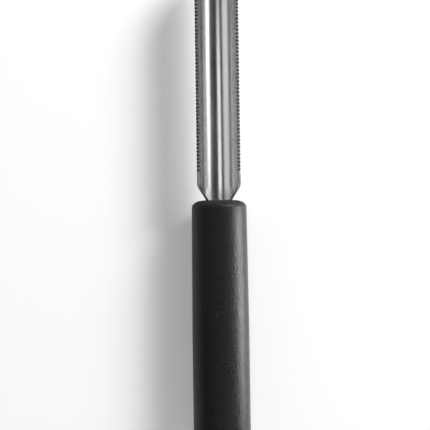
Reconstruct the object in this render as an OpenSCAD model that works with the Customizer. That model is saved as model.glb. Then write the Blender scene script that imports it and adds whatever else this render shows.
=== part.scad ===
// Hand tool with a half-round toothed blade and a soft round grip.
// It lies on a table with the blade's hollow side up: X across, Y along the tool towards the tip, Z up.
// The origin is on the table, under the middle of the tool. All sizes are in millimetres.

/* [Blade] */
// Reach of the blade ahead of the grip's front face
blade_reach = 110; // [80:1:150]
// Width across the two toothed rims
blade_w = 19; // [14:0.1:24]
// Thickness of the sheet
sheet_t = 1.2; // [0.6:0.05:1.4]
// Half of the arc that the sheet is rolled through, in degrees
roll_half = 80; // [66:1:88]
// Length over which the rims slope down to the tip
tip_len = 12; // [8:0.5:24]
// Length of the tapered shoulders ahead of the grip
shoulder_len = 6.2; // [4:0.1:10]
// Width of the tang, and of the neck where it enters the grip
tang_w = 11.2; // [8:0.1:13]
// Length of the tang behind the grip's front face
tang_len = 62; // [50:0.5:76]

/* [Teeth] */
// Distance from one tooth to the next
tooth_pitch = 1.59; // [1.2:0.01:2.5]
// Depth of the gaps between the teeth
tooth_depth = 0.8; // [0.4:0.05:1.2]
// Width of the flat tip of each tooth
tooth_flat = 0.7; // [0.2:0.05:0.8]
// Plain rim between the shoulder and the first tooth
plain_len = 6.2; // [3:0.1:12]

/* [Grip] */
// Length of the grip from its front face to its butt
grip_len = 115; // [95:0.5:140]
// Largest diameter of the grip
grip_d = 25; // [20.5:0.1:32]
// How much the grip's radius grows from its front edge to its largest diameter
grip_swell = 0.5; // [0.1:0.1:1.5]
// Length over which the grip grows to its largest diameter
swell_len = 60; // [40:0.5:72]
// Length of the rounded front edge
front_round_len = 3.1; // [1:0.1:6]
// Depth of the rounded front edge, measured on the radius
front_round_r = 5.2; // [2:0.1:8]
// Length of the rounded butt
butt_round_len = 13; // [6:0.5:20]
// Depth of the rounded butt, measured on the radius
butt_round_r = 6.5; // [3:0.1:8]

/* [Core] */
// Thickness of the soft skin around the core
skin_t = 4; // [2.5:0.1:5]
// Thickness of the soft skin ahead of the core
front_skin_t = 4; // [3:0.1:8]
// Thickness of the soft skin behind the core
butt_skin_t = 5; // [3:0.1:8]
// Rounding of the core's rear edge
core_round = 4; // [1:0.1:5]
// Width of the grooves that key the skin to the core
key_w = 4; // [2:0.1:6]
// Depth of those grooves
key_depth = 0.8; // [0.3:0.1:1.2]
// Distance from the grip's front face to the first groove
key_first = 33; // [24:0.5:40]
// Distance from one groove to the next
key_pitch = 24; // [18:0.5:28]
// Wall of the core around its hollow rear chamber
chamber_wall = 3; // [2:0.1:4]
// Solid web ahead of the chamber and behind it
web_t = 7; // [5:0.1:9]
// Diameter of the locating pegs between the two halves of the core
peg_d = 3; // [2:0.1:4]
// Height of the locating pegs
peg_h = 2.5; // [1:0.1:3]

/* [Rivets] */
// Distance from the grip's front face to the front rivet
rivet_first = 16; // [12:0.5:22]
// Distance between the two rivets
rivet_pitch = 34; // [20:0.5:40]
// Diameter of the rivet heads
rivet_head_d = 7; // [5.5:0.1:8]
// Thickness of the rivet heads
rivet_head_t = 1.4; // [0.8:0.1:2]
// Outer diameter of the tubular half
rivet_tube_d = 4.4; // [3.6:0.1:5]
// Diameter of the solid half's shank
rivet_shank_d = 2.8; // [2:0.1:3]

/* [Clearances] */
// Room around the tang in its bed and in the grip's front
tang_fit = 0.1; // [0.05:0.01:0.2]
// Gap where the two halves of the core meet
split_gap = 0.06; // [0.02:0.01:0.2]
// Gap between the skin and the core
skin_gap = 0.05; // [0.02:0.01:0.1]
// Room around the rivets, the pegs and the rivet heads
rivet_fit = 0.1; // [0.05:0.01:0.2]
// Room between a rivet's shank and its tube
shank_fit = 0.03; // [0.01:0.01:0.1]

/* [Hidden] */
$fn = 96;
margin = 1;
arc_steps = 16;
shoulder_steps = 4;

overall = blade_reach + grip_len;
tip_y = overall / 2;
front_y = tip_y - blade_reach;
butt_y = -overall / 2;
axis_z = grip_d / 2;

// Section of the rolled sheet: the middle of the sheet's bottom lies on the grip's axis
outer_r = blade_w / 2 / sin(roll_half);
inner_r = outer_r - sheet_t;
middle_r = outer_r - sheet_t / 2;
roll_z = axis_z + middle_r;
bottom_z = roll_z - outer_r;
rim_z = roll_z - inner_r * cos(roll_half);
tang_half = asin(tang_w / 2 / outer_r);

shoulder_y = front_y + shoulder_len;
rim_end_y = tip_y - tip_len;
tang_end_y = front_y - tang_len;
first_gap_y = shoulder_y + plain_len;
gap_count = floor((rim_end_y - first_gap_y) / tooth_pitch);

grip_r = grip_d / 2;
front_r = grip_r - grip_swell;
front_flat_r = front_r - front_round_r;
butt_flat_r = grip_r - butt_round_r;

core_r = grip_r - skin_t;
core_front_y = front_y - front_skin_t;
core_rear_y = butt_y + butt_skin_t;
chamber_r = core_r - chamber_wall;
chamber_front_y = tang_end_y - web_t;
chamber_rear_y = core_rear_y + web_t;
peg_ys = [tang_end_y - web_t / 2, core_rear_y + web_t / 2];
keys = [for (i = [0:2]) front_y - key_first - i * key_pitch];

// Rivet heads lie just below the core's surface
rivet_ys = [front_y - rivet_first, front_y - rivet_first - rivet_pitch];
head_bore_r = rivet_head_d / 2 + rivet_fit;
head_face = sqrt(core_r * core_r - head_bore_r * head_bore_r);
head_seat = head_face - rivet_head_t;
tube_r = rivet_tube_d / 2;
shank_r = rivet_shank_d / 2;

// Stretches a section drawn in X and Z along Y
module along_y(from, to) {
    translate([0, to, 0])
        rotate([90, 0, 0])
            linear_extrude(to - from)
                children();
}

// Spins an outline drawn as radius and Y around the grip's axis
module spun() {
    translate([0, 0, axis_z])
        rotate([-90, 0, 0])
            rotate_extrude()
                children();
}

// Cuts an outline, drawn as arc length and Y, through both walls at an angle from the sheet's bottom
module both_walls(angle, depth) {
    for (side = [0, 1])
        mirror([side, 0, 0])
            translate([0, 0, roll_z])
                rotate([0, -angle, 0])
                    translate([0, 0, -outer_r - margin])
                        linear_extrude(depth)
                            children();
}

// Sector of the rolled sheet's section, grown by a clearance
module rolled_section(half, room) {
    far = 3 * outer_r;
    side = far * [sin(half), -cos(half)];
    translate([0, roll_z])
        intersection() {
            difference() {
                circle(r = outer_r + room);
                circle(r = inner_r - room);
            }
            polygon([[0, 0], [-side[0], side[1]], [0, -far], side]);
        }
}

// Shoulders on both walls, straight as seen from above, that run on along the edges of the tang
module shoulder_cuts() {
    mid_angle = (roll_half + tang_half) / 2;
    edge = [
        for (i = [0:shoulder_steps])
            let (share = i / shoulder_steps)
            let (half_w = (blade_w + (tang_w - blade_w) * share) / 2)
                [outer_r * sin(asin(half_w / outer_r) - mid_angle), shoulder_y - shoulder_len * share]
    ];
    tang_x = outer_r * sin(tang_half - mid_angle);
    far_x = outer_r + margin;
    end_y = tang_end_y - margin;
    both_walls(mid_angle, far_x)
        polygon(concat(edge, [[tang_x, end_y], [far_x, end_y], [far_x, shoulder_y]]));
}

// What lies ahead of the slanting cut that makes the tip round as seen from above
module tip_cut() {
    low_z = bottom_z - margin;
    high_z = rim_z + margin;
    slope = [[tip_y_at(low_z), low_z], [tip_y_at(high_z), high_z]];
    far_y = tip_y + tip_len;
    rotate([90, 0, 90])
        linear_extrude(blade_w + 2 * margin, center = true)
            polygon(concat(slope, [[far_y, high_z], [far_y, low_z]]));
}

// Where the slanting cut lies at a height
function tip_y_at(z) = tip_y - tip_len * (z - bottom_z) / (rim_z - bottom_z);

// Row of V-shaped gaps in both rims
module tooth_gaps() {
    half_gap = (tooth_pitch - tooth_flat) / 2;
    spread = half_gap * (tooth_depth + margin) / tooth_depth;
    both_walls(roll_half, sheet_t + 2 * margin)
        for (i = [0:gap_count - 1])
            translate([0, first_gap_y + i * tooth_pitch])
                polygon([[-tooth_depth, 0], [margin, -spread], [margin, spread]]);
}

module blade() {
    color("silver")
        difference() {
            along_y(tang_end_y, tip_y + margin)
                rolled_section(roll_half, 0);
            shoulder_cuts();
            tooth_gaps();
            tip_cut();
            rivet_holes(tube_r + rivet_fit);
        }
}

// Upright holes on the two rivet axes
module rivet_holes(r) {
    for (y = rivet_ys)
        translate([0, y, axis_z - grip_r])
            cylinder(r = r, h = grip_d);
}

// Room for the tang, from behind its end to ahead of the grip's front face
module tang_bed() {
    half = asin((tang_w / 2 + 2 * tang_fit) / outer_r);
    along_y(tang_end_y - tang_fit, front_y + margin)
        rolled_section(half, tang_fit);
}

// Quarter ellipse from the flat of an end to the side: radius and Y of its centre, then its half-lengths
function end_round(r, y, r_len, y_len) = [
    for (i = [0:arc_steps])
        let (a = 90 * i / arc_steps)
            [r + r_len * sin(a), y + y_len * cos(a)]
];

function reversed(list) = [for (i = [len(list) - 1:-1:0]) list[i]];

module grip() {
    front = end_round(front_flat_r, front_y - front_round_len, front_round_r, front_round_len);
    side = [[grip_r, front_y - swell_len]];
    butt = end_round(butt_flat_r, butt_y + butt_round_len, butt_round_r, -butt_round_len);
    color([0.11, 0.11, 0.11])
        difference() {
            spun()
                polygon(concat([[0, front_y]], front, side, reversed(butt), [[0, butt_y]]));
            core_form(skin_gap);
            tang_bed();
        }
}

// Outside of the whole core, grown by a gap: a bar with keying grooves and a rounded rear edge
module core_form(gap) {
    front = [[0, core_front_y + gap], [core_r + gap, core_front_y + gap]];
    round_len = core_round + gap;
    rear = end_round(core_r - core_round, core_rear_y + core_round, round_len, -round_len);
    difference() {
        spun()
            polygon(concat(front, reversed(rear), [[0, core_rear_y - gap]]));
        for (y = keys)
            key_ring(y, gap);
    }
}

// One keying groove around the core
module key_ring(y, gap) {
    half = key_w / 2 - gap;
    spun()
        translate([core_r - key_depth + gap, y - half])
            square([key_depth + margin, 2 * half]);
}

// All that lies above the surface where the core's halves meet, which follows the middle of the sheet
module above_split(gap) {
    along_y(butt_y, front_y)
        translate([0, roll_z])
            circle(r = middle_r - gap);
}

// Hollow in the rear of the core
module chamber() {
    along_y(chamber_rear_y, chamber_front_y)
        translate([0, axis_z])
            circle(r = chamber_r);
}

// Recesses for the rivet heads, on the upper side or the lower side
module head_recesses(side) {
    for (y = rivet_ys)
        translate([0, y, axis_z])
            mirror([0, 0, side > 0 ? 0 : 1])
                translate([0, 0, head_seat])
                    cylinder(r = head_bore_r, h = grip_r);
}

// Upright pegs that locate the core's halves, from below the split to a height above the axis
module pegs(r, top) {
    for (y = peg_ys)
        translate([0, y, axis_z - peg_h])
            cylinder(r = r, h = peg_h + top);
}

module core_lower() {
    color("dimgray")
        union() {
            difference() {
                core_form(0);
                above_split(0);
                tang_bed();
                chamber();
                rivet_holes(tube_r + rivet_fit);
                head_recesses(-1);
            }
            pegs(peg_d / 2, peg_h);
        }
}

module core_upper() {
    color("gray")
        difference() {
            intersection() {
                core_form(0);
                above_split(split_gap);
            }
            tang_bed();
            chamber();
            rivet_holes(tube_r + rivet_fit);
            head_recesses(1);
            pegs(peg_d / 2 + rivet_fit, peg_h + rivet_fit);
        }
}

// Tubular half of a rivet, with its head below
module rivet_socket(y) {
    color("gainsboro")
        translate([0, y, axis_z])
            difference() {
                union() {
                    translate([0, 0, -head_face])
                        cylinder(d = rivet_head_d, h = rivet_head_t);
                    translate([0, 0, -head_face])
                        cylinder(r = tube_r, h = head_face + head_seat - rivet_fit);
                }
                translate([0, 0, -head_seat])
                    cylinder(r = shank_r + shank_fit, h = 2 * head_seat);
            }
}

// Solid half of a rivet, with its head above
module rivet_pin(y) {
    color("gainsboro")
        translate([0, y, axis_z])
            union() {
                translate([0, 0, head_seat])
                    cylinder(d = rivet_head_d, h = rivet_head_t);
                translate([0, 0, rivet_fit - head_seat])
                    cylinder(r = shank_r, h = 2 * head_seat);
            }
}

module front_rivet_socket() { rivet_socket(rivet_ys[0]); }
module front_rivet_pin() { rivet_pin(rivet_ys[0]); }
module rear_rivet_socket() { rivet_socket(rivet_ys[1]); }
module rear_rivet_pin() { rivet_pin(rivet_ys[1]); }

blade();
grip();
core_lower();
core_upper();
front_rivet_socket();
front_rivet_pin();
rear_rivet_socket();
rear_rivet_pin();
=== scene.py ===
import math

import bmesh
import bpy
from mathutils import Matrix, Vector


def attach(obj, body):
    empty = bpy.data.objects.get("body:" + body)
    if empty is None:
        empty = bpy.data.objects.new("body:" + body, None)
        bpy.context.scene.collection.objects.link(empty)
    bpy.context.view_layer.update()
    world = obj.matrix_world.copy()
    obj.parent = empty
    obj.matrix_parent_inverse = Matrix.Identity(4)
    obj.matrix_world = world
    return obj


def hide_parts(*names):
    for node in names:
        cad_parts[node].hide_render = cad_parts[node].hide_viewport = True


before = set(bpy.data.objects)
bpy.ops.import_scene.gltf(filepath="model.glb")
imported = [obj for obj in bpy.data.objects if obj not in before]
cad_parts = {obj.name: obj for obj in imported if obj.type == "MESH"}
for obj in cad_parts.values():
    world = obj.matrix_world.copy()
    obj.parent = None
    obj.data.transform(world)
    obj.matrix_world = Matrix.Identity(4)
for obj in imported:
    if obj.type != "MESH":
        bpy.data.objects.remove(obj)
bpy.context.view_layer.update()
scene = bpy.context.scene
scene.view_settings.view_transform = "Standard"
mm = 0.001


# shader helpers

def addNode(tree, kind, inputs=None, **settings):
    made = tree.nodes.new("ShaderNode" + kind)
    for key, value in settings.items():
        setattr(made, key, value)
    for key, value in (inputs or {}).items():
        if isinstance(value, bpy.types.NodeSocket):
            tree.links.new(value, made.inputs[key])
        else:
            made.inputs[key].default_value = value
    return made


def newGroup(name, inputs, outputs):
    tree = bpy.data.node_groups.new(name, "ShaderNodeTree")
    for label, value in inputs.items():
        tree.interface.new_socket(label, in_out="INPUT", socket_type="NodeSocketFloat").default_value = value
    for label in outputs:
        tree.interface.new_socket(label, in_out="OUTPUT", socket_type="NodeSocketFloat")
    return tree, tree.nodes.new("NodeGroupInput").outputs, tree.nodes.new("NodeGroupOutput").inputs


def useGroup(tree, group, **values):
    made = addNode(tree, "Group", node_tree=group)
    for key, value in values.items():
        made.inputs[key].default_value = value
    return made.outputs


def newMaterial(name):
    made = bpy.data.materials.new(name)
    made.use_nodes = True
    made.node_tree.nodes.clear()
    shader = addNode(made.node_tree, "BsdfPrincipled")
    addNode(made.node_tree, "OutputMaterial", {"Surface": shader.outputs[0]})
    return made, made.node_tree, shader


def spread(tree, value, low, high):
    # a mask from 0 to 1 becomes a value from low to high
    return addNode(tree, "MapRange", {"Value": value, "To Min": low, "To Max": high}).outputs[0]


def tones(tree, mask, dark, light):
    ramp = addNode(tree, "ValToRGB", {"Fac": mask})
    ramp.color_ramp.elements[0].color = (dark, dark, dark, 1)
    ramp.color_ramp.elements[1].color = (light, light, light, 1)
    return ramp.outputs[0]


def makeStreaks():
    # lines that a roller or a brush leaves along the tool
    tree, given, out = newGroup("lengthStreaks", {"Across": 1.0, "Along": 0.02}, ["Tone", "Height"])
    spot = addNode(tree, "TexCoord").outputs["Object"]
    stretch = addNode(tree, "CombineXYZ", {"X": given["Across"], "Y": given["Along"], "Z": given["Across"]})
    place = addNode(tree, "VectorMath", {0: spot, 1: stretch.outputs[0]}, operation="MULTIPLY").outputs[0]
    broad = addNode(tree, "TexNoise", {"Vector": place, "Scale": 350.0, "Detail": 3.0, "Roughness": 0.55})
    fine = addNode(tree, "TexNoise", {"Vector": place, "Scale": 2600.0, "Detail": 2.0, "Roughness": 0.6})
    both = addNode(tree, "Mix", {"Factor": 0.5, "A": broad.outputs[0], "B": fine.outputs[0]})
    sharp = addNode(tree, "MapRange", {"Value": both.outputs[0], "From Min": 0.34, "From Max": 0.66})
    tree.links.new(sharp.outputs[0], out["Tone"])
    tree.links.new(fine.outputs[0], out["Height"])
    return tree


def makeGrain():
    # fine even grain of a blasted mould
    tree, given, out = newGroup("mouldGrain", {"Size": 0.4 * mm}, ["Tone", "Height"])
    spot = addNode(tree, "TexCoord").outputs["Object"]
    scale = addNode(tree, "Math", {0: 1.0, 1: given["Size"]}, operation="DIVIDE").outputs[0]
    pits = addNode(tree, "TexVoronoi", {"Vector": spot, "Scale": scale, "Smoothness": 0.6}, feature="SMOOTH_F1")
    cloud = addNode(tree, "TexNoise", {"Vector": spot, "Scale": scale, "Detail": 3.0, "Roughness": 0.65})
    height = addNode(tree, "Mix", {"Factor": 0.6, "A": pits.outputs["Distance"], "B": cloud.outputs[0]})
    tone = addNode(tree, "MapRange", {"Value": cloud.outputs[0], "From Min": 0.3, "From Max": 0.7})
    tree.links.new(tone.outputs[0], out["Tone"])
    tree.links.new(height.outputs[0], out["Height"])
    return tree


def makeSmudges():
    # broad soft patches where hands and cloths have been
    tree, given, out = newGroup("handledPatches", {"Size": 15 * mm}, ["Tone"])
    spot = addNode(tree, "TexCoord").outputs["Object"]
    scale = addNode(tree, "Math", {0: 1.0, 1: given["Size"]}, operation="DIVIDE").outputs[0]
    cloud = addNode(tree, "TexNoise", {"Vector": spot, "Scale": scale, "Detail": 4.0, "Roughness": 0.6,
                                       "Distortion": 0.6})
    tone = addNode(tree, "MapRange", {"Value": cloud.outputs[0], "From Min": 0.35, "From Max": 0.68})
    tree.links.new(tone.outputs[0], out["Tone"])
    return tree


def makeSpecks():
    # sparse pale specks of dust: a few cells of many carry one
    tree, given, out = newGroup("dustSpecks", {"Spacing": 1.6 * mm, "Rarity": 0.9, "Radius": 0.13}, ["Mask"])
    spot = addNode(tree, "TexCoord").outputs["Object"]
    scale = addNode(tree, "Math", {0: 1.0, 1: given["Spacing"]}, operation="DIVIDE").outputs[0]
    cells = addNode(tree, "TexVoronoi", {"Vector": spot, "Scale": scale, "Randomness": 1.0})
    inside = addNode(tree, "Math", {0: cells.outputs["Distance"], 1: given["Radius"]}, operation="LESS_THAN")
    pick = addNode(tree, "SeparateXYZ", {"Vector": cells.outputs["Color"]}).outputs[0]
    chosen = addNode(tree, "Math", {0: pick, 1: given["Rarity"]}, operation="GREATER_THAN")
    mask = addNode(tree, "Math", {0: inside.outputs[0], 1: chosen.outputs[0]}, operation="MULTIPLY")
    tree.links.new(mask.outputs[0], out["Mask"])
    return tree


streaks, grain, smudges, specks = makeStreaks(), makeGrain(), makeSmudges(), makeSpecks()


# finishes

steelLook = {"patchSize": 22 * mm, "patchShare": 0.45, "lineDepth": 0.01 * mm}


def satinSteel(name, dark, light, smooth, rough, bump, along=0.02, metal=1.0, neckShade=1.0, scuff=0.0,
               neckShadeY=(0.0, 1 * mm)):
    made, tree, shader = newMaterial(name)
    lines = useGroup(tree, streaks, Across=1.0, Along=along)
    patches = useGroup(tree, smudges, Size=steelLook["patchSize"])
    # painted shade: behind a place along the tool, towards the grip, the colour is darker; the roughness also rises
    # there, where the mould closed on the sheet
    place = addNode(tree, "SeparateXYZ", {"Vector": addNode(tree, "TexCoord").outputs["Object"]}).outputs[1]
    behind = addNode(tree, "MapRange", {"Value": place, "From Min": neckShadeY[1], "From Max": neckShadeY[0]},
                     interpolation_type="SMOOTHSTEP").outputs[0]
    clean = tones(tree, lines["Tone"], dark, light)
    # the same tones darkened: painted shade near the neck
    shadedNearNeck = tones(tree, lines["Tone"], dark * neckShade, light * neckShade)
    skin = addNode(tree, "Mix", {"A": clean, "B": shadedNearNeck, "Factor": behind}, data_type="RGBA").outputs["Result"]
    tree.links.new(skin, shader.inputs["Base Color"])
    wear = addNode(tree, "Mix", {"Factor": steelLook["patchShare"], "A": lines["Tone"],
                                 "B": patches["Tone"]}).outputs[0]
    haze = addNode(tree, "Mix", {"Factor": behind, "A": spread(tree, wear, smooth, rough),
                                 "B": spread(tree, wear, smooth + scuff, rough + scuff)}).outputs[0]
    tree.links.new(haze, shader.inputs["Roughness"])
    relief = addNode(tree, "Bump", {"Strength": bump, "Distance": steelLook["lineDepth"], "Height": lines["Height"]})
    tree.links.new(relief.outputs[0], shader.inputs["Normal"])
    shader.inputs["Metallic"].default_value = metal
    return made


edgeLook = {
    "bandHalf": 0.12 * mm,  # of the bright band, from its middle
    "cornerFrom": 0.26 * mm,  # where the painted shade of the corner starts in full
    "fade": 1 * mm,  # along the tool, at the end of the shoulders
    "lineTones": (0.8, 1.0),
    "roughness": (0.3, 0.4),
    "metal": 0.7,
}


def shearedEdge(name, rollZ, bandRadius, cutEndY, rim, cornerShade, middle):
    # a stamped edge: a bright cut band between the two corners of the sheet, which are painted near-black as shade
    made, tree, shader = newMaterial(name)
    spot = addNode(tree, "SeparateXYZ", {"Vector": addNode(tree, "TexCoord").outputs["Object"]}).outputs
    above = addNode(tree, "Math", {0: spot[2], 1: rollZ}, operation="SUBTRACT").outputs[0]
    arm = addNode(tree, "VectorMath", {0: addNode(tree, "CombineXYZ", {"X": spot[0], "Z": above}).outputs[0]},
                  operation="LENGTH").outputs["Value"]
    off = addNode(tree, "Math", {0: arm, 1: bandRadius}, operation="SUBTRACT").outputs[0]
    side = addNode(tree, "Math", {0: off}, operation="ABSOLUTE").outputs[0]
    corner = addNode(tree, "MapRange", {"Value": side, "From Min": edgeLook["bandHalf"],
                                        "From Max": edgeLook["cornerFrom"]}).outputs[0]
    # only the slanting cut of the shoulders has the painted shade at its corners
    slanted = addNode(tree, "MapRange", {"Value": spot[1], "From Min": cutEndY + edgeLook["fade"],
                                         "From Max": cutEndY}).outputs[0]
    corner = addNode(tree, "Math", {0: corner, 1: slanted}, operation="MULTIPLY").outputs[0]
    bright = spread(tree, slanted, rim, middle)
    # the corners take a near-black colour: painted shade
    metal = addNode(tree, "Mix", {"Factor": corner, "A": bright, "B": cornerShade}).outputs[0]
    lines = useGroup(tree, streaks, Across=1.0, Along=1.0)
    tone = spread(tree, lines["Tone"], *edgeLook["lineTones"])
    linedAndShaded = addNode(tree, "Math", {0: metal, 1: tone}, operation="MULTIPLY").outputs[0]
    tree.links.new(linedAndShaded, shader.inputs["Base Color"])
    tree.links.new(spread(tree, lines["Tone"], *edgeLook["roughness"]), shader.inputs["Roughness"])
    shader.inputs["Metallic"].default_value = edgeLook["metal"]
    return made


skinLook = {
    "patchSize": 14 * mm,
    "patchShare": 0.5,
    "dust": (0.1, 0.1, 0.1, 1),
    "lipFade": 3 * mm,
    "lipRoughness": 0.95,
}


def mouldedSkin(name, dark, light, smooth, rough, gloss, grainSize, relief, rarity, lip):
    made, tree, shader = newMaterial(name)
    texture = useGroup(tree, grain, Size=grainSize)
    patches = useGroup(tree, smudges, Size=skinLook["patchSize"])
    dust = useGroup(tree, specks, Rarity=rarity)
    body = tones(tree, texture["Tone"], dark, light)
    speck = addNode(tree, "Mix", {"A": body, "B": skinLook["dust"], "Factor": dust["Mask"]}, data_type="RGBA")
    tree.links.new(speck.outputs["Result"], shader.inputs["Base Color"])
    wear = addNode(tree, "Mix", {"Factor": skinLook["patchShare"], "A": texture["Tone"],
                                 "B": patches["Tone"]}).outputs[0]
    # the end beyond the lip is left rough by the mould
    along = addNode(tree, "SeparateXYZ", {"Vector": addNode(tree, "TexCoord").outputs["Object"]}).outputs[1]
    beyond = addNode(tree, "MapRange", {"Value": along, "From Min": lip, "From Max": lip + skinLook["lipFade"]},
                     interpolation_type="SMOOTHSTEP").outputs[0]
    matte = addNode(tree, "Mix", {"Factor": beyond, "A": spread(tree, wear, smooth, rough),
                                  "B": skinLook["lipRoughness"]}).outputs[0]
    tree.links.new(matte, shader.inputs["Roughness"])
    bump = addNode(tree, "Bump", {"Strength": 1.0, "Distance": relief, "Height": texture["Height"]})
    tree.links.new(bump.outputs[0], shader.inputs["Normal"])
    shader.inputs["Specular IOR Level"].default_value = gloss
    return made


# the sheet's colour is darkened towards the grip as painted shade
sheetSteel = satinSteel("satinSheetSteel", dark=0.72, light=0.8, smooth=0.2, rough=0.27, bump=0.05, neckShade=0.68,
                        scuff=0.04, neckShadeY=(3.0 * mm, 10.0 * mm))
outerSteel = satinSteel("millOuterSteel", dark=0.4, light=0.48, smooth=0.28, rough=0.37, bump=0.05)
# the tooth crests are near-black: painted shade that makes the dark dots along the rims
shadedCrestSteel = satinSteel("paintedShadeToothCrest", dark=0.03, light=0.07, smooth=0.34, rough=0.44, bump=0.1, along=1.0)
flankSteel = satinSteel("brightToothFlank", dark=0.38, light=0.48, smooth=0.3, rough=0.4, bump=0.1, along=1.0,
                        metal=0.75)
rivetAluminium = satinSteel("plainAluminium", dark=0.7, light=0.8, smooth=0.28, rough=0.42, bump=0.12, along=0.3)
gripRubber = mouldedSkin("softBlackRubber", dark=0.0072, light=0.0205, smooth=0.32, rough=0.38, gloss=0.15,
                         grainSize=0.7 * mm, relief=0.24 * mm, rarity=0.98, lip=-0.4 * mm)
corePlastic = mouldedSkin("mouldedCorePlastic", dark=0.05, light=0.07, smooth=0.42, rough=0.55, gloss=0.5,
                          grainSize=0.25 * mm, relief=0.012 * mm, rarity=0.98, lip=1.0)
print("finishes made")


# mesh helpers

def addPiece(name, bm, materials):
    mesh = bpy.data.meshes.new(name)
    bm.to_mesh(mesh)
    bm.free()
    piece = bpy.data.objects.new(name, mesh)
    scene.collection.objects.link(piece)
    for each in materials:
        mesh.materials.append(each)
    return piece


def applyModifiers(piece):
    graph = bpy.context.evaluated_depsgraph_get()
    done = bpy.data.meshes.new_from_object(piece.evaluated_get(graph))
    piece.modifiers.clear()
    spare, piece.data = piece.data, done
    name = spare.name
    bpy.data.meshes.remove(spare)
    done.name = name


def cutAway(piece, cutter):
    cut = piece.modifiers.new("cut", "BOOLEAN")
    cut.operation, cut.solver, cut.object = "DIFFERENCE", "EXACT", cutter
    applyModifiers(piece)
    spare = cutter.data
    bpy.data.objects.remove(cutter)
    bpy.data.meshes.remove(spare)


weld = 0.0005 * mm  # points closer than this are one


def mergeDoubles(piece):
    bm = bmesh.new()
    bm.from_mesh(piece.data)
    bmesh.ops.remove_doubles(bm, verts=bm.verts, dist=weld)
    bmesh.ops.dissolve_degenerate(bm, edges=bm.edges, dist=weld)
    bm.to_mesh(piece.data)
    bm.free()


def softenEdges(piece, width, segments, angle):
    soften = piece.modifiers.new("soften", "BEVEL")
    soften.affect, soften.width, soften.segments, soften.profile, soften.material = "EDGES", width, segments, 0.5, -1
    soften.limit_method, soften.angle_limit = "ANGLE", math.radians(angle)
    applyModifiers(piece)
    mergeDoubles(piece)
    even = piece.modifiers.new("even", "WEIGHTED_NORMAL")
    even.keep_sharp = True
    applyModifiers(piece)


def shadeSmooth(piece, angle):
    piece.data.polygons.foreach_set("use_smooth", [True] * len(piece.data.polygons))
    piece.data.set_sharp_from_angle(angle=math.radians(angle))


def newVerts(result):
    return [e for e in result["geom"] if isinstance(e, bmesh.types.BMVert)]


def newEdges(result):
    return [e for e in result["geom"] if isinstance(e, bmesh.types.BMEdge)]


# blade: a toothed sheet rolled round an axis above the grip's own

blade = {
    "rollRadius": 9.0466 * mm,  # to the middle of the sheet
    "rollZ": 21.5466 * mm,
    "thickness": 1.2 * mm,
    "rimAngle": 80.0,
    "rimBand": 7.2,  # degrees from the rim to the next line of points
    "columns": 44,
    "startArc": 60.0,  # that the first row is spun over, before it is spread
    "width": 19.0 * mm,
    "neckWidth": 11.2 * mm,
    "cutAngle": 57.74,  # of the press that cuts the shoulders, from straight down
    "tangEndY": -59.5 * mm,
    "neckY": 2.5 * mm,
    "shoulderY": 8.7 * mm,
    "cornerEase": 1.2 * mm,
    "firstGapY": 14.9 * mm,
    "pitch": 1.59 * mm,
    "gaps": 53,
    "gapDepth": 0.8 * mm,
    "toothFlat": 0.7 * mm,
    "tipY": 112.5 * mm,
    "tipLength": 12.0 * mm,
    "tipDrop": 8.1798 * mm,  # height of the rim above the tip
    "rivetY": (-13.5 * mm, -47.5 * mm),
    "rivetHole": 2.3 * mm,
    "tipSpare": 2.0 * mm,  # that the tip's cut takes off
    "drillDepth": 8.0 * mm,
    "drillSegments": 48,
    "edgeRound": 0.05 * mm,
    "edgeSegments": 2,
    "edgeAngle": 35,
    "smoothAngle": 60,
    "rimSlot": 3,  # the first of the rim's three finishes: cut edge, tooth crest, tooth flank
    "innerSlot": 6,
    "bandInset": 0.1 * mm,  # of the cut's bright band, from the middle of the sheet
}

# the corners of the cut are painted near-black as shade
cutSteel = shearedEdge("cutSheetEdge", blade["rollZ"], blade["rollRadius"] - blade["bandInset"], blade["shoulderY"],
                       rim=0.4, cornerShade=0.01, middle=1.0)


def planHalf(y):
    # half of the blade's width in plan, with its shoulder corners eased
    rise = (blade["width"] - blade["neckWidth"]) / 2
    length = blade["shoulderY"] - blade["neckY"]
    steps = 12
    total = 0.0
    for i in range(steps + 1):
        at = y + blade["cornerEase"] * (2 * i / steps - 1)
        total += blade["neckWidth"] / 2 + rise * min(max((at - blade["neckY"]) / length, 0.0), 1.0)
    return total / (steps + 1)


def bladeRows():
    # each row of points across the sheet: its place, half angle, how far its rim points are set in, the rim's finish
    outer = blade["rollRadius"] + blade["thickness"] / 2
    ease = blade["cornerEase"]
    tangRows, shoulderRows, tipRows = 12, 40, 8
    places = []
    shoulderFrom, shoulderTo = blade["neckY"] - ease, blade["shoulderY"] + ease
    for i in range(tangRows):
        places.append(blade["tangEndY"] + (shoulderFrom - blade["tangEndY"]) * i / tangRows)
    for i in range(shoulderRows + 1):
        places.append(shoulderFrom + (shoulderTo - shoulderFrom) * i / shoulderRows)
    rows = [(y, math.asin(min(planHalf(y) / outer, 1.0)), 0.0, 0) for y in places]
    full = math.radians(blade["rimAngle"])
    halfGap = (blade["pitch"] - blade["toothFlat"]) / 2
    for i in range(blade["gaps"]):
        y = blade["firstGapY"] + i * blade["pitch"]
        rows += [(y - halfGap, full, 0.0, min(i, 1)), (y, full, blade["gapDepth"] / blade["rollRadius"], 2),
                 (y + halfGap, full, 0.0, 2)]
    endY = blade["tipY"] + blade["tipSpare"]
    lastY = rows[-1][0]
    for i in range(tipRows):
        rows.append((lastY + (endY - lastY) * (i + 1) / tipRows, full, 0.0, 0))
    return rows


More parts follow.
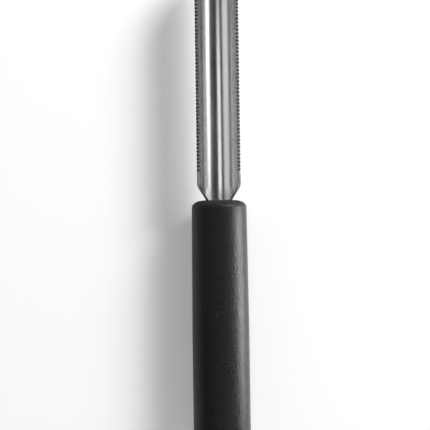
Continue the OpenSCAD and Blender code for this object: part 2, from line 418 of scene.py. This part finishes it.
def rollRow(row, half, inset):
    # spreads one row over its arc, and sets its two end points in where there is a gap
    full, band = math.radians(blade["rimAngle"]), math.radians(blade["rimBand"])
    centre = Vector((0, 0, blade["rollZ"]))
    ordered = sorted(row, key=lambda v: v.co.x)
    last = len(ordered) - 1
    for i, v in enumerate(ordered):
        angle = (full - band) * (2 * (i - 1) / (last - 2) - 1) * half / full
        if i in (0, last):
            angle = (half - inset) * (-1 if i == 0 else 1)
        now = math.atan2(v.co.x, blade["rollZ"] - v.co.z)
        v.co = Matrix.Rotation(now - angle, 3, "Y") @ (v.co - centre) + centre


def makeBlade():
    rows = bladeRows()
    bm = bmesh.new()
    first = bm.verts.new((0, rows[0][0], blade["rollZ"] - blade["rollRadius"]))
    arc = math.radians(blade["startArc"])
    bmesh.ops.rotate(bm, verts=[first], cent=(0, 0, blade["rollZ"]), matrix=Matrix.Rotation(arc / 2, 3, "Y"))
    bmesh.ops.spin(bm, geom=[first], cent=(0, 0, blade["rollZ"]), axis=(0, -1, 0), angle=arc, steps=blade["columns"])
    edges, lastY = bm.edges[:], rows[0][0]
    rollRow(bm.verts, rows[0][1], rows[0][2])
    for y, half, inset, finish in rows[1:]:
        grown = bmesh.ops.extrude_edge_only(bm, edges=edges)
        for face in grown["geom"]:
            if isinstance(face, bmesh.types.BMFace):
                face.material_index = finish  # of three slots of one steel, from which rim and inner side count on
        row = newVerts(grown)
        bmesh.ops.translate(bm, verts=row, vec=(0, y - lastY, 0))
        rollRow(row, half, inset)
        edges = [e for e in newEdges(grown) if e.verts[0] in row and e.verts[1] in row]
        lastY = y
    bmesh.ops.recalc_face_normals(bm, faces=bm.faces)
    piece = addPiece("bladeSheet", bm, [outerSteel] * 3 + [cutSteel, shadedCrestSteel, flankSteel] + [sheetSteel] * 3)
    wall = piece.modifiers.new("wall", "SOLIDIFY")
    wall.thickness, wall.offset, wall.use_even_offset = blade["thickness"], 0.0, True
    wall.material_offset_rim, wall.material_offset = blade["rimSlot"], blade["innerSlot"]
    applyModifiers(piece)
    slantCuts(piece)
    cutTip(piece)
    cutAway(piece, rivetDrills())
    softenEdges(piece, blade["edgeRound"], blade["edgeSegments"], blade["edgeAngle"])
    shadeSmooth(piece, blade["smoothAngle"])
    return piece


def innerAngle(outerAngle):
    # where the press, which moves at one angle, leaves the inner corner of the cut
    outer = blade["rollRadius"] + blade["thickness"] / 2
    inner = outer - blade["thickness"]
    lean = math.radians(blade["cutAngle"])
    reach = math.asin(max(-1.0, min(outer / inner * math.sin(outerAngle - lean), 1.0)))
    return min(lean + reach, math.radians(blade["rimAngle"]))


def slantCuts(piece):
    # draws the inner wall of the tang and the shoulders in to the slanting cut
    axis = Vector((0, 0, blade["rollZ"]))
    outer = blade["rollRadius"] + blade["thickness"] / 2
    for v in piece.data.vertices:
        arm = Vector((v.co.x, 0, v.co.z)) - axis
        if v.co.y < blade["shoulderY"] + blade["cornerEase"] and arm.length < blade["rollRadius"]:
            half = math.asin(min(planHalf(v.co.y) / outer, 1.0))
            turn = math.atan2(arm.x, -arm.z) * (1 - innerAngle(half) / half)
            v.co = Matrix.Rotation(turn, 3, "Y") @ (v.co - axis) + axis


def cutTip(piece):
    # one slanting cut from the rims down to the tip
    bm = bmesh.new()
    bm.from_mesh(piece.data)
    low = Vector((0, blade["tipY"], blade["rollZ"] - blade["rollRadius"] - blade["thickness"] / 2))
    slant = Vector((0, blade["tipDrop"], blade["tipLength"])).normalized()
    cut = bmesh.ops.bisect_plane(bm, geom=bm.verts[:] + bm.edges[:] + bm.faces[:], plane_co=low, plane_no=slant,
                                 clear_outer=True)
    rim = [e for e in cut["geom_cut"] if isinstance(e, bmesh.types.BMEdge)]
    for face in bmesh.ops.contextual_create(bm, geom=rim)["faces"]:
        face.material_index = blade["rimSlot"]
    bmesh.ops.recalc_face_normals(bm, faces=bm.faces)
    bm.to_mesh(piece.data)
    bm.free()


def rivetDrills():
    bm = bmesh.new()
    for y in blade["rivetY"]:
        place = Matrix.Translation((0, y, blade["rollZ"] - blade["rollRadius"]))
        bmesh.ops.create_cone(bm, cap_ends=True, segments=blade["drillSegments"], radius1=blade["rivetHole"],
                              radius2=blade["rivetHole"], depth=blade["drillDepth"], matrix=place)
    return addPiece("drills", bm, [])


bladeSheet = makeBlade()
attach(bladeSheet, "root")
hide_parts("blade")
print("blade", len(bladeSheet.data.polygons), "faces")


# grip: a soft skin moulded over the core

grip = {
    "axisZ": 12.5 * mm,
    "frontY": 2.5 * mm,
    "buttY": -112.5 * mm,
    "frontRadius": 12.0 * mm,
    "radius": 12.5 * mm,
    "swellEndY": -57.5 * mm,
    "frontRound": (3.1 * mm, 5.2 * mm),  # along the tool, on the radius
    "buttRound": (13.0 * mm, 6.5 * mm),
    "gateRadius": 1.1 * mm,  # moulding point in the middle of the butt
    "gateDepth": 0.25 * mm,
    "gateTaper": 0.8,
    "coreRadius": 8.55 * mm,
    "coreFrontY": -1.45 * mm,
    "coreRearY": -107.55 * mm,
    "coreRound": 4.05 * mm,
    "keyY": (-30.5 * mm, -54.5 * mm, -78.5 * mm),
    "keyHalf": 1.95 * mm,
    "keyRadius": 7.75 * mm,
    "slotRoom": 0.1 * mm,
    "slotHalf": 36.9,
    "slotEndY": -4.0 * mm,
    "slotSpare": 2.0 * mm,  # that the cutter stands out in front
    "slotSteps": 40,
    "partingHalf": 0.12 * mm,
    "partingDepth": 0.05 * mm,
    "partingFrom": 5.0 * mm,  # the ends have no line in their middle
    "segments": 180,
    "frontSteps": 20,
    "buttSteps": 28,
    "coreSteps": 8,
    "longSide": 30.0 * mm,  # an edge longer than this is divided
    "longCuts": 16,
    "near": 0.001 * mm,
    "smoothAngle": 40,
}


def outlineArc(bm, y, radius, lengthY, lengthR, steps):
    # quarter ellipse from the flat of an end to the side, in the plane above the axis
    start = bm.verts.new((0, 1, 0))
    bmesh.ops.spin(bm, geom=[start], cent=(0, 0, 0), axis=(1, 0, 0), angle=math.radians(90), steps=steps)
    points = [v for v in bm.verts if v.tag is False]
    bmesh.ops.scale(bm, verts=points, vec=(1, lengthY, lengthR))
    bmesh.ops.translate(bm, verts=points, vec=(0, y, grip["axisZ"] + radius))
    for v in points:
        v.tag = True
    return points[0], points[-1]


def joinOutline(bm, ends):
    for a, b in zip(ends, ends[1:]):
        bm.edges.new((a, b))


def outlinePoint(bm, y, radius):
    made = bm.verts.new((0, y, grip["axisZ"] + radius))
    made.tag = True
    return made


def spinOutline(bm):
    bmesh.ops.spin(bm, geom=bm.verts[:] + bm.edges[:], cent=(0, 0, grip["axisZ"]), axis=(0, 1, 0), angle=2 * math.pi,
                   steps=grip["segments"], use_merge=True)
    bmesh.ops.remove_doubles(bm, verts=bm.verts, dist=grip["near"])
    bmesh.ops.recalc_face_normals(bm, faces=bm.faces)


def outerSkin():
    bm = bmesh.new()
    frontY, frontR = grip["frontRound"]
    buttY, buttR = grip["buttRound"]
    middle = outlinePoint(bm, grip["frontY"], 0)
    frontEdge, frontSide = outlineArc(bm, grip["frontY"] - frontY, grip["frontRadius"] - frontR, frontY, frontR,
                                      grip["frontSteps"])
    buttEdge, buttSide = outlineArc(bm, grip["buttY"] + buttY, grip["radius"] - buttR, -buttY, buttR,
                                    grip["buttSteps"])
    swell = outlinePoint(bm, grip["swellEndY"], grip["radius"])
    lip = outlinePoint(bm, grip["buttY"], grip["gateRadius"])
    well = outlinePoint(bm, grip["buttY"] + grip["gateDepth"], grip["gateRadius"] * grip["gateTaper"])
    gate = outlinePoint(bm, grip["buttY"] + grip["gateDepth"], 0)
    joinOutline(bm, [middle, frontEdge])
    joinOutline(bm, [frontSide, swell, buttSide])
    joinOutline(bm, [buttEdge, lip, well, gate])
    sides = [e for e in bm.edges if e.calc_length() > grip["longSide"]]
    bmesh.ops.subdivide_edges(bm, edges=sides, cuts=grip["longCuts"])
    spinOutline(bm)
    partMould(bm)
    return bm


def partMould(bm):
    # shallow witness line on both sides, where the mould opens
    for side in (-1, 1):
        bmesh.ops.bisect_plane(bm, geom=bm.verts[:] + bm.edges[:] + bm.faces[:],
                               plane_co=(0, 0, grip["axisZ"] + side * grip["partingHalf"]), plane_no=(0, 0, 1))
    bm.normal_update()
    for v in bm.verts:
        if abs(v.co.z - grip["axisZ"]) < grip["near"] and abs(v.co.x) > grip["partingFrom"]:
            v.co -= v.normal * grip["partingDepth"]


def innerSkin():
    # the hollow that the core fills, with its three keying rings
    bm = bmesh.new()
    front = [outlinePoint(bm, grip["coreFrontY"], r) for r in (0, grip["coreRadius"])]
    rings = []
    for y in grip["keyY"]:
        for at, radius in ((1, "coreRadius"), (1, "keyRadius"), (-1, "keyRadius"), (-1, "coreRadius")):
            rings.append(outlinePoint(bm, y + at * grip["keyHalf"], grip[radius]))
    rearEdge, rearSide = outlineArc(bm, grip["coreRearY"] + grip["coreRound"], grip["coreRadius"] - grip["coreRound"],
                                    -grip["coreRound"], grip["coreRound"], grip["coreSteps"])
    joinOutline(bm, front + rings + [rearSide])
    joinOutline(bm, [rearEdge, outlinePoint(bm, grip["coreRearY"], 0)])
    spinOutline(bm)
    bmesh.ops.reverse_faces(bm, faces=bm.faces)
    return bm


def tangSlot():
    # the tang's section with a little room, through the front skin
    bm = bmesh.new()
    start = bm.verts.new((0, grip["slotEndY"], blade["rollZ"] - blade["rollRadius"]))
    half = math.radians(grip["slotHalf"])
    bmesh.ops.rotate(bm, verts=[start], cent=(0, 0, blade["rollZ"]), matrix=Matrix.Rotation(half, 3, "Y"))
    bmesh.ops.spin(bm, geom=[start], cent=(0, 0, blade["rollZ"]), axis=(0, -1, 0), angle=2 * half,
                   steps=grip["slotSteps"])
    grown = bmesh.ops.extrude_edge_only(bm, edges=bm.edges[:])
    length = grip["frontY"] + grip["slotSpare"] - grip["slotEndY"]
    bmesh.ops.translate(bm, verts=newVerts(grown), vec=(0, length, 0))
    bmesh.ops.recalc_face_normals(bm, faces=bm.faces)
    piece = addPiece("slot", bm, [])
    wall = piece.modifiers.new("wall", "SOLIDIFY")
    wall.thickness, wall.offset, wall.use_even_offset = blade["thickness"] + 2 * grip["slotRoom"], 0.0, True
    applyModifiers(piece)
    return piece


def makeGrip():
    bm = outerSkin()
    inside = bpy.data.meshes.new("inside")
    hollow = innerSkin()
    hollow.to_mesh(inside)
    hollow.free()
    bm.from_mesh(inside)
    bpy.data.meshes.remove(inside)
    piece = addPiece("gripSkin", bm, [gripRubber])
    cutAway(piece, tangSlot())
    mergeDoubles(piece)
    shadeSmooth(piece, grip["smoothAngle"])
    return piece


gripSkin = makeGrip()
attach(gripSkin, "root")
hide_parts("grip")
print("grip", len(gripSkin.data.polygons), "faces")


# the core and the rivets keep their CAD shapes

for name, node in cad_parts.items():
    finish = corePlastic if name.startswith("core") else rivetAluminium if "rivet" in name else None
    if finish:
        node.data.materials.clear()
        node.data.materials.append(finish)
print("core and rivets finished")


# table, light and camera

table = {
    "half": 3.0,
    "tones": (0.87, 0.88),
    "grain": 1.5 * mm,
    "roughness": 0.7,
    "gloss": 0.1,
    "glow": 0.2,
    "farGlow": 0.9,
    "far": (0.3, 1.3),  # from the middle, where the far glow starts and is full
}


def makeTable():
    made, tree, shader = newMaterial("whiteTable")
    texture = useGroup(tree, grain, Size=table["grain"])
    tree.links.new(tones(tree, texture["Tone"], *table["tones"]), shader.inputs["Base Color"])
    shader.inputs["Roughness"].default_value = table["roughness"]
    shader.inputs["Specular IOR Level"].default_value = table["gloss"]
    # lifts the white that the camera and the metal see, and lights nothing
    path = addNode(tree, "LightPath").outputs
    seen = path["Is Camera Ray"]
    for other in ("Is Glossy Ray", "Is Transmission Ray"):
        seen = addNode(tree, "Math", {0: seen, 1: path[other]}, operation="MAXIMUM").outputs[0]
    glow = addNode(tree, "Math", {0: seen, 1: table["glow"]}, operation="MULTIPLY").outputs[0]
    # more of it far from the tool, where the lamps don't reach, for the camera alone
    spot = addNode(tree, "TexCoord").outputs["Object"]
    away = addNode(tree, "VectorMath", {0: spot}, operation="LENGTH").outputs["Value"]
    far = addNode(tree, "MapRange", {"Value": away, "From Min": table["far"][0], "From Max": table["far"][1],
                                     "To Max": table["farGlow"]}, interpolation_type="SMOOTHSTEP").outputs[0]
    far = addNode(tree, "Math", {0: far, 1: path["Is Camera Ray"]}, operation="MULTIPLY").outputs[0]
    glow = addNode(tree, "Math", {0: glow, 1: far}, operation="ADD").outputs[0]
    tree.links.new(glow, shader.inputs["Emission Strength"])
    shader.inputs["Emission Color"].default_value = (1, 1, 1, 1)
    bm = bmesh.new()
    bmesh.ops.create_grid(bm, x_segments=1, y_segments=1, size=table["half"])
    return addPiece("table", bm, [made])


makeTable()

lamps = {
    # place, aim, width, height, power
    "keyPanel": ((1.44, 1.57, 1.13), (0.0, 0.02, 0.0), 1.0, 0.76, 76.404),
    "nearPanel": ((0.83, 0.27, 0.58), (0.0, 0.1, 0.015), 0.5, 0.295, 1.04),
    "sidePanel": ((0.95, 0.22, 0.29), (0.0, 0.1, 0.015), 0.6, 0.35, 1.06),
    "gripStrip": ((0.12, -0.045, 0.013), (0.0, -0.045, 0.013), 0.138, 0.034, 0.61),
    "gripCard": ((0.064, -0.0515, 0.0006), (0.064, -0.0515, 1.0), 0.096, 0.151, 0.036),
    "overheadPanel": ((-0.14, 0.07, 1.0), (0.0, 0.07, 0.015), 0.3, 0.28, 0.435),
    "leftPanel": ((-0.79, 0.22, 0.59), (0.0, 0.1, 0.0), 0.6, 0.78, 1.177),
    "backPanel": ((0.28, -0.8, 0.95), (0.0, -0.1, 0.0), 1.6, 0.7, 2.639),
    "frontCard": ((0.0, 2.3, 0.75), (0.0, 0.0, 0.0), 2.6, 1.0, 5.7),
    "rearCard": ((0.0, -2.3, 0.75), (0.0, 0.0, 0.0), 2.6, 1.0, 5.7),
}

for name, (place, aim, width, height, power) in lamps.items():
    data = bpy.data.lights.new(name, "AREA")
    data.shape, data.size, data.size_y, data.energy = "RECTANGLE", width, height, power
    lamp = bpy.data.objects.new(name, data)
    lamp.location = place
    lamp.rotation_euler = (Vector(aim) - Vector(place)).to_track_quat("-Z", "Y").to_euler()
    lamp.visible_camera = False
    scene.collection.objects.link(lamp)

# the strip and the card beside the grip only make the long reflection on the rubber
stripTilt = 13.0  # degrees, the front end up
rubberOnly = bpy.data.collections.new("rubberOnly")
rubberOnly.objects.link(gripSkin)
for name in ("gripStrip", "gripCard"):
    lamp = scene.objects[name]
    lamp.visible_diffuse = False
    lamp.light_linking.receiver_collection = rubberOnly
scene.objects["gripStrip"].rotation_euler.rotate_axis("Z", math.radians(stripTilt))

room = {"ceiling": 0.01, "horizon": 0.12, "edge": 0.3, "backdrop": 1.0}


def makeRoom():
    world = bpy.data.worlds.new("studio")
    scene.world = world
    world.use_nodes = True
    tree = world.node_tree
    tree.nodes.clear()
    up = addNode(tree, "SeparateXYZ", {"Vector": addNode(tree, "TexCoord").outputs["Generated"]}).outputs[2]
    level = addNode(tree, "MapRange", {"Value": up, "From Max": room["edge"], "To Min": room["horizon"],
                                       "To Max": room["ceiling"]}, interpolation_type="SMOOTHSTEP").outputs[0]
    seen = addNode(tree, "LightPath").outputs["Is Camera Ray"]
    level = addNode(tree, "Mix", {"Factor": seen, "A": level, "B": room["backdrop"]}).outputs[0]
    backdrop = addNode(tree, "Background", {"Color": level})
    addNode(tree, "OutputWorld", {"Surface": backdrop.outputs[0]})


makeRoom()

view = {"place": (-1.86 * mm, -3.9 * mm, 650 * mm), "roll": -0.82, "lens": 122.0, "sensor": 36.0, "clip": 0.01}
cameraData = bpy.data.cameras.new("camera")
cameraData.lens, cameraData.sensor_width, cameraData.clip_start = view["lens"], view["sensor"], view["clip"]
camera = bpy.data.objects.new("camera", cameraData)
camera.location = view["place"]
camera.rotation_euler = (0, 0, math.radians(view["roll"]))
scene.collection.objects.link(camera)
scene.camera = camera
print("table, light and camera set")
